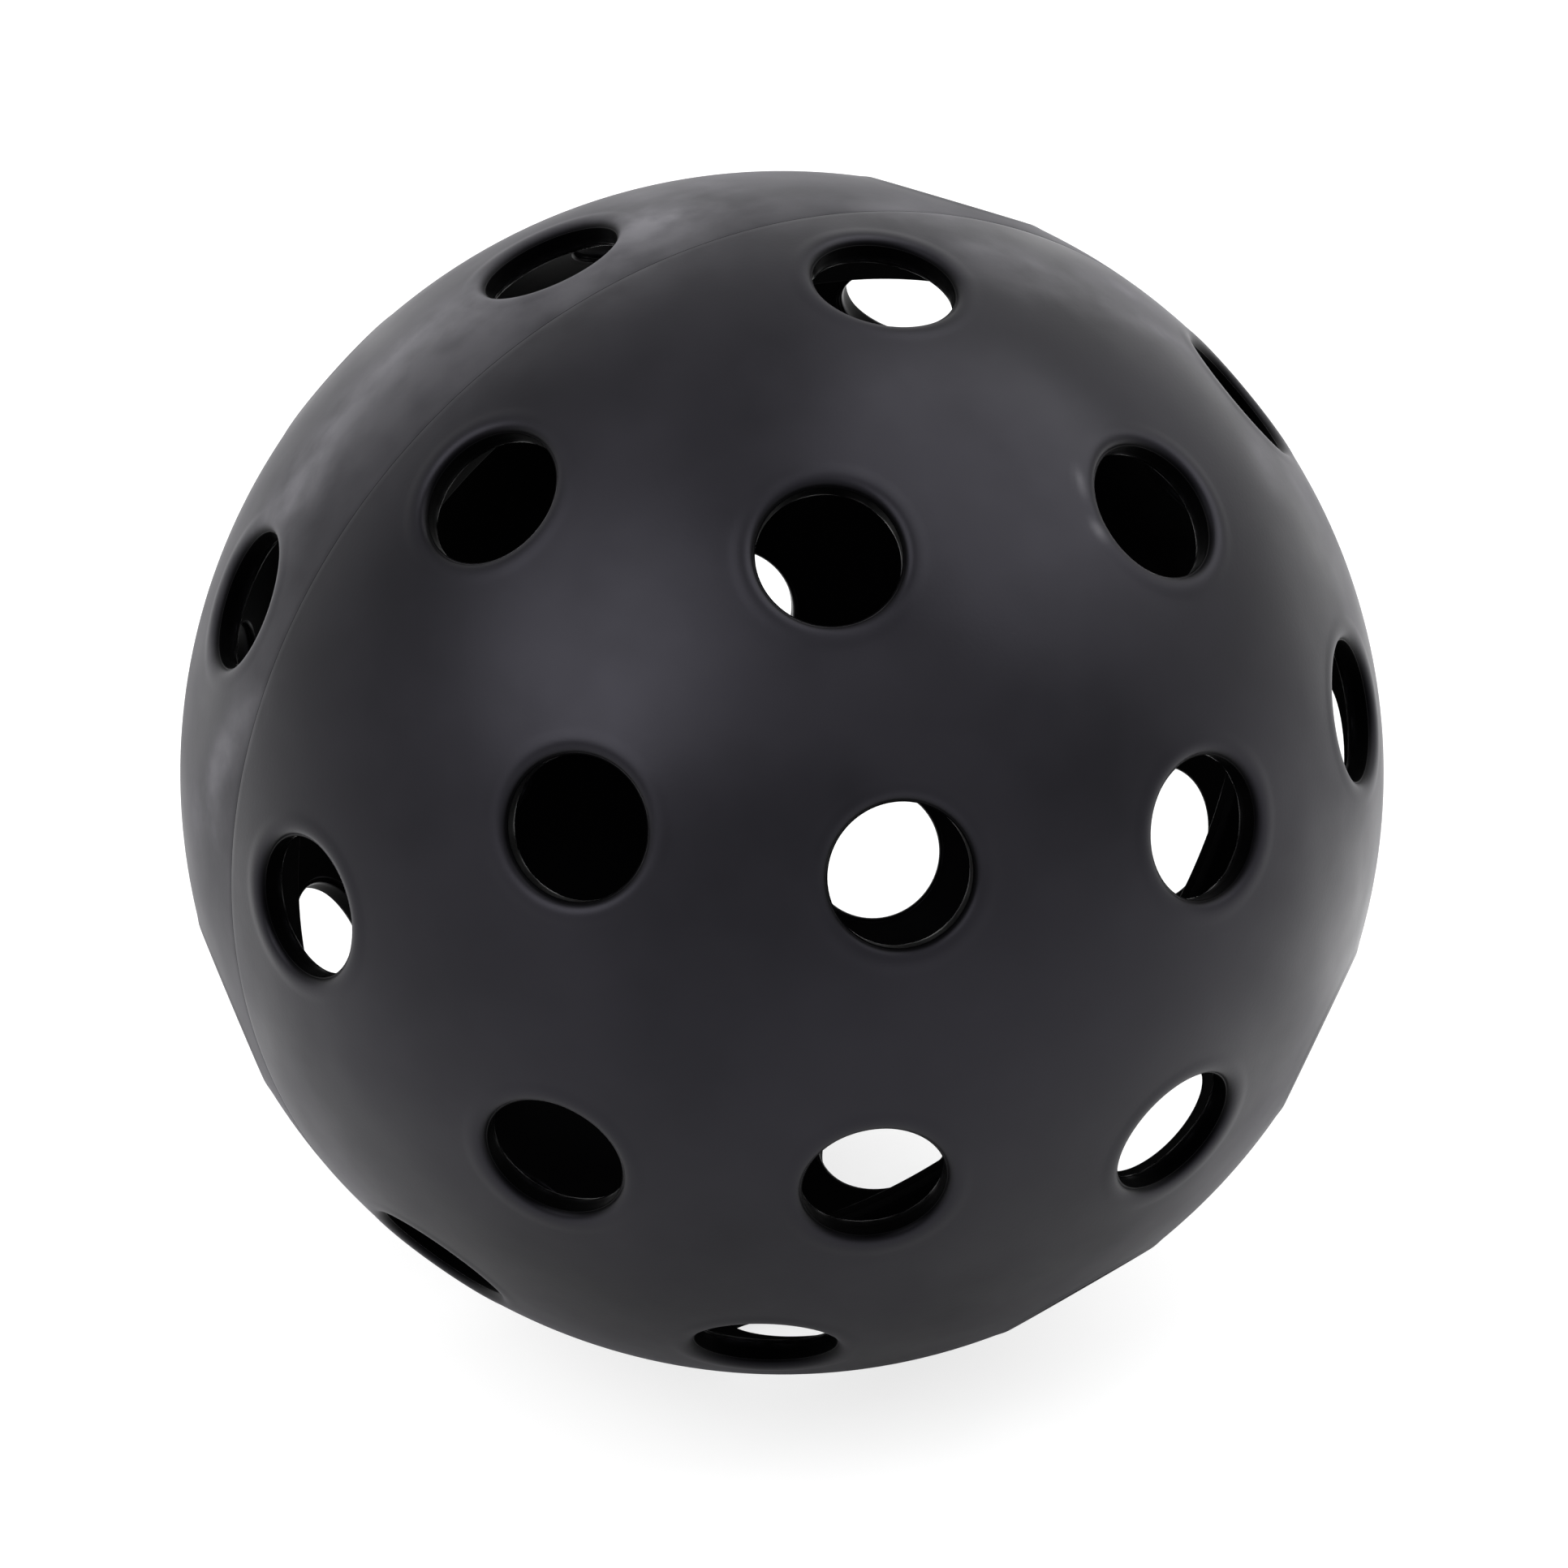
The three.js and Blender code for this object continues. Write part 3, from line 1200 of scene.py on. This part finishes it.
    def _specks(self, sheet: NodeSheet, place: bpy.types.NodeSocket) -> bpy.types.NodeSocket:
        """Adds sparse specks of dust.

        Args:
            sheet: The material's sheet.
            place: Where their pattern is read.

        Returns:
            The share of dust at a point.
        """
        cells = sheet.add(
            "ShaderNodeTexVoronoi",
            {"Vector": place, "Scale": 1 / self.speck_spacing, "W": self.seed, "Randomness": 1.0},
            voronoi_dimensions="4D",
        )
        dot = sheet.ramp(cells.outputs["Distance"], self.speck_band)
        return sheet.math("MULTIPLY", dot, self.speck_strength)

    def _grain(self, sheet: NodeSheet, place: bpy.types.NodeSocket) -> bpy.types.NodeSocket:
        """Adds the fine moulded grain and the slight waviness.

        Args:
            sheet: The material's sheet.
            place: Where their noise is read.

        Returns:
            The surface's normal.
        """
        fine = self._noise(sheet, place, self.grain_noise)
        first = sheet.add("ShaderNodeBump", {"Height": fine, "Distance": self.grain, "Strength": 1.0})
        wave = self._noise(sheet, place, self.waves)
        inputs = {"Height": wave, "Distance": self.wave_height, "Strength": 1.0, "Normal": first.outputs[0]}
        return sheet.add("ShaderNodeBump", inputs).outputs[0]


FRONT_PLASTIC = MouldedPlastic(
    "front_plastic",
    body=(0.0014, 0.0013, 0.0018),
    mottle=(0.0075, 0.0071, 0.0088),
    roughness=0.4,
    specular=0.2,
    unevenness=0.5,
    sheen=0.13,
    chalk_strength=1.0,
)

REAR_PLASTIC = MouldedPlastic(
    "rear_plastic",
    body=(0.006, 0.0057, 0.007),
    mottle=(0.013, 0.0125, 0.0147),
    roughness=0.5,
    specular=0.2,
    unevenness=0.4,
    sheen=0.12,
    haze=0.07,
    seed=3.0,
)

# Near-black colour and faint reflection: painted shade, for the inside of the ball lies in shade.
INNER_PLASTIC = MouldedPlastic(
    "inner_plastic",
    body=(0.0005, 0.0005, 0.0006),
    mottle=(0.0008, 0.0008, 0.0009),
    roughness=0.4,
    specular=0.025,
    chalk_strength=0.1,
    speck_strength=0.1,
    seed=5.0,
)

# Near-black colour and faint reflection: painted shade for the bores, which lie in the holes' shade.
BORE_PLASTIC = MouldedPlastic(
    "bore_plastic",
    body=(0.0005, 0.0005, 0.0006),
    mottle=(0.0008, 0.0008, 0.0009),
    roughness=0.2,
    specular=0.07,
    unevenness=0.1,
    lip_matting=0.3,
    chalk_strength=0.0,
    speck_strength=0.0,
    grain=0.0003 * MM,
    seed=6.0,
)

WELD_PLASTIC = MouldedPlastic(
    "weld_plastic",
    body=(0.008, 0.008, 0.0085),
    mottle=(0.006, 0.006, 0.007),
    roughness=0.35,
    specular=0.3,
    chalk_strength=0.0,
    speck_strength=0.0,
    seed=7.0,
)


@dataclass(frozen=True)
class Smudge:
    """A chalky smudge on the ball, longer than it is wide. Along the ball's outline some are partly painted
    sheen.

    Args:
        around: Angle about the moulding axis, from +X towards +Z, in degrees.
        polar: Angle from the front pole, in degrees.
        length: Half length, in degrees.
        width: Half width, in degrees.
        strength: Share of the full chalk at its middle.
        heading: Angle of its length from the line that leads away from the front pole, in degrees.
    """

    around: float
    polar: float
    length: float
    width: float
    strength: float
    heading: float = 90.0

    def weight(self, directions: np.ndarray) -> np.ndarray:
        """How strongly the smudge covers each direction.

        Args:
            directions: Unit vectors from the ball's centre.

        Returns:
            A share of the full chalk for each of them.
        """
        polar, around, heading = (math.radians(a) for a in (self.polar, self.around, self.heading))
        out = np.array([math.cos(around), 0.0, math.sin(around)])
        away = math.cos(polar) * out + np.array([0.0, math.sin(polar), 0.0])
        across = np.array([-math.sin(around), 0.0, math.cos(around)])
        middle = math.sin(polar) * out - np.array([0.0, math.cos(polar), 0.0])
        along = math.cos(heading) * away + math.sin(heading) * across
        beside = math.cos(heading) * across - math.sin(heading) * away
        u = np.degrees(directions @ along) / self.length
        v = np.degrees(directions @ beside) / self.width
        return np.where(directions @ middle > 0, self.strength * np.exp(-u * u - v * v), 0.0)


# Chalky smudges. Several lie along the ball's outline as the camera sees it, on the right and upper right
# most of all, and lighten it where the surface turns away: there they are partly painted sheen.
SMUDGES_AND_PAINTED_SHEEN: Tuple[Smudge, ...] = (
    Smudge(167, 94, 7, 2.2, 1.0, 70),
    Smudge(171, 97, 5, 1.6, 0.8, 80),
    Smudge(177, 101, 4, 2.0, 0.9),
    Smudge(175, 94, 3, 1.3, 0.8),
    Smudge(152, 106, 9, 3.0, 0.6),
    Smudge(142, 103, 6, 4.0, 0.8),
    Smudge(127, 105, 12, 4.0, 0.7),
    Smudge(115, 101, 6, 3.5, 0.5),
    Smudge(99, 100, 8, 5.0, 0.7),
    Smudge(90, 108, 9, 5.0, 0.8),
    Smudge(75, 90, 7, 4.0, 0.5),
    Smudge(71, 83, 4, 2.0, 0.4),
    Smudge(53, 83, 4, 2.0, 0.8),
    Smudge(53, 76, 5, 1.5, 0.6),
    Smudge(43, 64, 3, 2.0, 0.6, 30),
    Smudge(34, 67, 7, 3.0, 0.9),
    Smudge(23, 59, 3, 1.2, 0.6),
    Smudge(40, 76, 12, 5.0, 0.25),
    Smudge(64, 79, 10, 5.0, 0.45),
    Smudge(48, 71, 3, 1.2, 0.3, 20),
    Smudge(18, 52, 10, 3.0, 0.08),
    Smudge(4, 40, 12, 3.0, 0.08),
    Smudge(340, 36, 16, 4.0, 0.25),
    Smudge(312, 36, 16, 4.0, 0.2),
    Smudge(74, 51.7, 1.3, 0.45, 0.55, 0),
    Smudge(73, 46.7, 1.0, 0.5, 0.45, 30),
    Smudge(135, 102, 50, 8.0, 0.18),
    Smudge(104, 96, 18, 7.0, 0.3),
    Smudge(192, 90, 14, 4.0, 0.3),
    Smudge(208, 82, 12, 4.0, 0.35),
    Smudge(225, 100, 15, 6.0, 0.5),
    Smudge(0, 105, 16, 6.0, 0.5),
    Smudge(290, 120, 18, 8.0, 0.4),
    Smudge(120, 140, 16, 9.0, 0.5),
    Smudge(30, 150, 14, 8.0, 0.4),
)


def chalk_and_sheen_attribute(piece: bpy.types.Object) -> None:
    """Stores how strongly each vertex of a piece is smudged, with chalk and with painted sheen along the
    outline, as its attribute chalk.

    Args:
        piece: The piece, with its place in its mesh.
    """
    mesh = piece.data
    places = np.zeros(len(mesh.vertices) * 3)
    mesh.vertices.foreach_get("co", places)
    places = places.reshape(-1, 3)
    directions = places / np.linalg.norm(places, axis=1)[:, None]
    weight = np.clip(sum(smudge.weight(directions) for smudge in SMUDGES_AND_PAINTED_SHEEN), 0, 1)
    mark = mesh.attributes.new("chalk", "FLOAT", "POINT")
    mark.data.foreach_set("value", weight.astype(np.float32))


@dataclass(frozen=True)
class SoftLamp:
    """A round soft lamp that faces the ball.

    Args:
        name: The lamp's name.
        spot_px: Where the ball mirrors its middle to the camera, in the photograph's pixels.
        distance: Its distance from the ball, in metres.
        width: Its diameter, in metres.
        power: Its power, in watts.
    """

    name: str
    spot_px: Pair
    distance: float
    width: float
    power: float


@dataclass
class Studio:
    """The white floor, the soft lamps, the light from all around and the camera.

    A band of a direction gives two values of one of its parts, from -1 to 1.

    Args:
        ball_radius: The ball's radius, in metres.
        azimuth: Where the camera stands, from -Y towards +X, in degrees.
        elevation: Its height over the ball's middle, in degrees.
        distance_in_radii: Its distance from the ball's centre, in radii of the ball.
        photo_size: Side of the photograph, in pixels.
        ball_centre_px: The ball's centre in the photograph, in pixels.
        outline_radius_px: Radius of the ball's outline in the photograph, in pixels.
        sensor: Width of the camera's sensor, in millimetres.
        clip_range: Nearest and furthest distance that the camera shows, in metres.
        floor_side: Side of the floor, in metres.
        floor_paper: How light the floor is where it takes light and shadow.
        contact_shade: Where its mirrored glow fades in around the ball's foot, in radii of the ball.
        left_floor_band: Where along X its mirrored glow grows to the full, in radii of the ball.
        left_floor_share: Share of that glow to the left of the band.
        floor_glow: The floor's glow where the camera sees it.
        floor_gloss: The floor's glow where the ball mirrors it.
        ceiling_band: Upward values over which the mirrored light turns from the horizon's to the ceiling's.
        horizon_strength: The mirrored light from the horizon and below.
        ceiling_strength: The mirrored light from above.
        back_band: Values along Y over which it turns from the front's to the back's.
        back_gain: Share of the mirrored light from behind the ball.
        front_share: Share of the mirrored light from in front of it.
        left_band: Values along X over which the mirrored light grows to the full.
        left_share: Share of the mirrored light from the left.
        side_band: Values along X, to either side, over which the soft light falls.
        side_share: Share of the soft light from the sides.
        soft_strength: The soft light from all around.
        lamps: The lamps.
    """

    ball_radius: float
    azimuth: float = -26.8
    elevation: float = 27.2
    distance_in_radii: float = 15.3
    photo_size: float = 1932.0
    ball_centre_px: Pair = (963.5, 952.1)
    outline_radius_px: float = 741.6
    sensor: float = 36.0
    clip_range: Pair = (0.01, 50.0)
    floor_side: float = 8.0
    floor_paper: float = 0.35
    contact_shade: Pair = (0.4, 1.8)
    left_floor_band: Pair = (-5.0, -1.5)
    left_floor_share: float = 0.72
    floor_glow: float = 0.78
    floor_gloss: float = 1.12
    ceiling_band: Pair = (0.3, 0.95)
    horizon_strength: float = 1.0
    ceiling_strength: float = 0.65
    back_band: Pair = (0.2, 0.95)
    back_gain: float = 1.2
    front_share: float = 0.88
    left_band: Pair = (-0.9, 0.2)
    left_share: float = 0.73
    side_band: Pair = (0.35, 0.95)
    side_share: float = 0.4
    soft_strength: float = 0.5
    lamps: Tuple[SoftLamp, ...] = (
        SoftLamp("key", (750.0, 800.0), distance=1.2, width=1.1, power=13.0),
        SoftLamp("fill", (1215.0, 600.0), distance=1.2, width=1.3, power=13.5),
    )

    def view_direction(self) -> Vector:
        """Direction from the ball's centre to the camera."""
        az, el = math.radians(self.azimuth), math.radians(self.elevation)
        return Vector((math.sin(az) * math.cos(el), -math.cos(az) * math.cos(el), math.sin(el)))

    def camera(self) -> None:
        """Places the camera at the photograph's viewing angle."""
        data = bpy.data.cameras.new("camera")
        focal_px = self.outline_radius_px * math.sqrt(self.distance_in_radii**2 - 1)
        data.sensor_width = self.sensor
        data.lens = focal_px / self.photo_size * self.sensor
        middle = self.photo_size / 2
        data.shift_x = (middle - self.ball_centre_px[0]) / self.photo_size
        data.shift_y = (self.ball_centre_px[1] - middle) / self.photo_size
        data.clip_start, data.clip_end = self.clip_range
        camera = link("camera", data)
        direction = self.view_direction()
        camera.location = direction * self.distance_in_radii * self.ball_radius
        camera.rotation_euler = direction.to_track_quat("Z", "Y").to_euler()
        bpy.context.scene.camera = camera

    def mirror_direction(self, spot_px: Pair) -> Vector:
        """Direction in which the ball's outside mirrors the camera's ray.

        Args:
            spot_px: Where the ray meets the ball, in the photograph's pixels.

        Returns:
            The direction, away from the ball.
        """
        view = self.view_direction()
        right = Vector((0.0, 0.0, 1.0)).cross(view).normalized()
        up = view.cross(right)
        x = (spot_px[0] - self.ball_centre_px[0]) / self.outline_radius_px
        y = (self.ball_centre_px[1] - spot_px[1]) / self.outline_radius_px
        normal = x * right + y * up + math.sqrt(1 - x * x - y * y) * view
        return (2 * normal.dot(view) * normal - view).normalized()

    def _floor_material(self) -> bpy.types.Material:
        """Builds the floor's material: paper that takes light and shadow, and a glow that some rays see.

        Returns:
            The material.
        """
        material = bpy.data.materials.new("floor")
        material.use_nodes = True
        material.node_tree.nodes.clear()
        sheet = NodeSheet(material.node_tree)
        ray = sheet.add("ShaderNodeLightPath").outputs
        place = sheet.add("ShaderNodeTexCoord").outputs["Object"]
        away = sheet.add("ShaderNodeVectorMath", {0: place, 1: (1.0, 1.0, 0.0)}, operation="MULTIPLY")
        length = sheet.add("ShaderNodeVectorMath", {0: away.outputs[0]}, operation="LENGTH")
        near, far = (self.ball_radius * share for share in self.contact_shade)
        clear = sheet.ramp(length.outputs["Value"], (near, far), soft=True)
        glossy = sheet.math("MULTIPLY", ray["Is Glossy Ray"], clear)
        glossy = sheet.math("MULTIPLY", glossy, self.floor_gloss)
        side = sheet.add("ShaderNodeSeparateXYZ", {0: place}).outputs["X"]
        start, end = (self.ball_radius * share for share in self.left_floor_band)
        dim = sheet.ramp(side, (start, end), (self.left_floor_share, 1.0), soft=True)
        glossy = sheet.math("MULTIPLY", glossy, dim)
        seen = sheet.math("MAXIMUM", ray["Is Camera Ray"], ray["Is Transmission Ray"])
        seen = sheet.math("MAXIMUM", sheet.math("MULTIPLY", seen, self.floor_glow), glossy)
        white = self.floor_paper
        paper = sheet.add("ShaderNodeBsdfDiffuse", {"Color": (white, white, white, 1.0)})
        glow = sheet.add("ShaderNodeEmission", {"Strength": seen})
        both = sheet.add("ShaderNodeAddShader", {0: paper.outputs[0], 1: glow.outputs[0]})
        sheet.add("ShaderNodeOutputMaterial", {"Surface": both.outputs[0]})
        return material

    def floor(self) -> None:
        """Lays the white floor that the ball rests on, and keeps its shadow."""
        half = self.floor_side / 2
        level = cad_box[0][2]
        corners = [(-half, -half, level), (half, -half, level), (half, half, level), (-half, half, level)]
        floor = mesh_object("floor", corners, [(0, 1, 2, 3)], smooth=False)
        floor.data.materials.append(self._floor_material())

    def hang(self, lamp: SoftLamp) -> None:
        """Hangs a lamp where the ball mirrors it at the lamp's spot.

        Args:
            lamp: The lamp.
        """
        data = bpy.data.lights.new(lamp.name, "AREA")
        data.shape = "DISK"
        data.size = lamp.width
        data.energy = lamp.power
        light = link(lamp.name, data)
        direction = self.mirror_direction(lamp.spot_px)
        light.location = direction * lamp.distance
        light.rotation_euler = direction.to_track_quat("Z", "Y").to_euler()

    def world(self) -> None:
        """Surrounds the ball with even light, white where the camera sees it."""
        world = bpy.data.worlds.new("studio")
        world.use_nodes = True
        world.node_tree.nodes.clear()
        sheet = NodeSheet(world.node_tree)
        ray = sheet.add("ShaderNodeLightPath").outputs
        seen = sheet.math("MAXIMUM", ray["Is Camera Ray"], ray["Is Transmission Ray"])
        place = sheet.add("ShaderNodeTexCoord").outputs["Generated"]
        parts = sheet.add("ShaderNodeSeparateXYZ", {0: place}).outputs
        mirrored = 1.0
        for axis, band, ends in (
            ("Z", self.ceiling_band, (self.horizon_strength, self.ceiling_strength)),
            ("Y", self.back_band, (self.front_share, self.back_gain)),
            ("X", self.left_band, (self.left_share, 1.0)),
        ):
            mirrored = sheet.math("MULTIPLY", mirrored, sheet.ramp(parts[axis], band, ends, soft=True))
        strength = sheet.math("MAXIMUM", seen, sheet.math("MULTIPLY", mirrored, ray["Is Glossy Ray"]))
        aside = sheet.math("ABSOLUTE", parts["X"])
        dim = sheet.ramp(aside, self.side_band, (1.0, self.side_share), soft=True)
        strength = sheet.math("MAXIMUM", strength, sheet.math("MULTIPLY", dim, self.soft_strength))
        sky = sheet.add("ShaderNodeBackground", {"Color": (1.0, 1.0, 1.0, 1.0), "Strength": strength})
        sheet.add("ShaderNodeOutputWorld", {"Surface": sky.outputs[0]})
        bpy.context.scene.world = world

    def build(self) -> None:
        """Builds the whole studio."""
        self.camera()
        self.floor()
        self.world()
        for lamp in self.lamps:
            self.hang(lamp)
        bpy.context.scene.view_settings.view_transform = "Standard"


def main() -> None:
    """Builds the ball and the studio around it."""
    logging.basicConfig(level=logging.INFO, format="%(name)s: %(message)s")
    sizes = BallSizes(
        outer_radius=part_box("front_half_shell")[1].x,
        tongue_height=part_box("front_half_shell")[1].y,
    )
    Studio(sizes.outer_radius).build()
    front_plastic = FRONT_PLASTIC.build()
    rear_plastic = REAR_PLASTIC.build()
    inner_plastic = INNER_PLASTIC.build()
    bore_plastic = BORE_PLASTIC.build()
    weld_plastic = WELD_PLASTIC.build()
    tree = PerforationTree(sizes)
    halves = (
        (HalfShell(sizes, Side.FRONT, "front_half_shell"), front_plastic, "front_shell_plastic"),
        (HalfShell(sizes, Side.REAR, "rear_half_shell"), rear_plastic, "rear_shell_plastic"),
    )
    for half, outside, slot in halves:
        piece = half.build(tree, ShellFinishes(outside, inner_plastic, bore_plastic))
        chalk_and_sheen_attribute(piece)
        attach(piece, "root")
        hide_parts(half.node)
        LOG.info("%s stands for %s", piece.name, half.node)
    bead = WeldBead(sizes).build(weld_plastic)
    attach(bead, "root")
    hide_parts("weld_ring")
    LOG.info("%s stands for weld_ring", bead.name)


if __name__ == "__main__":
    main()
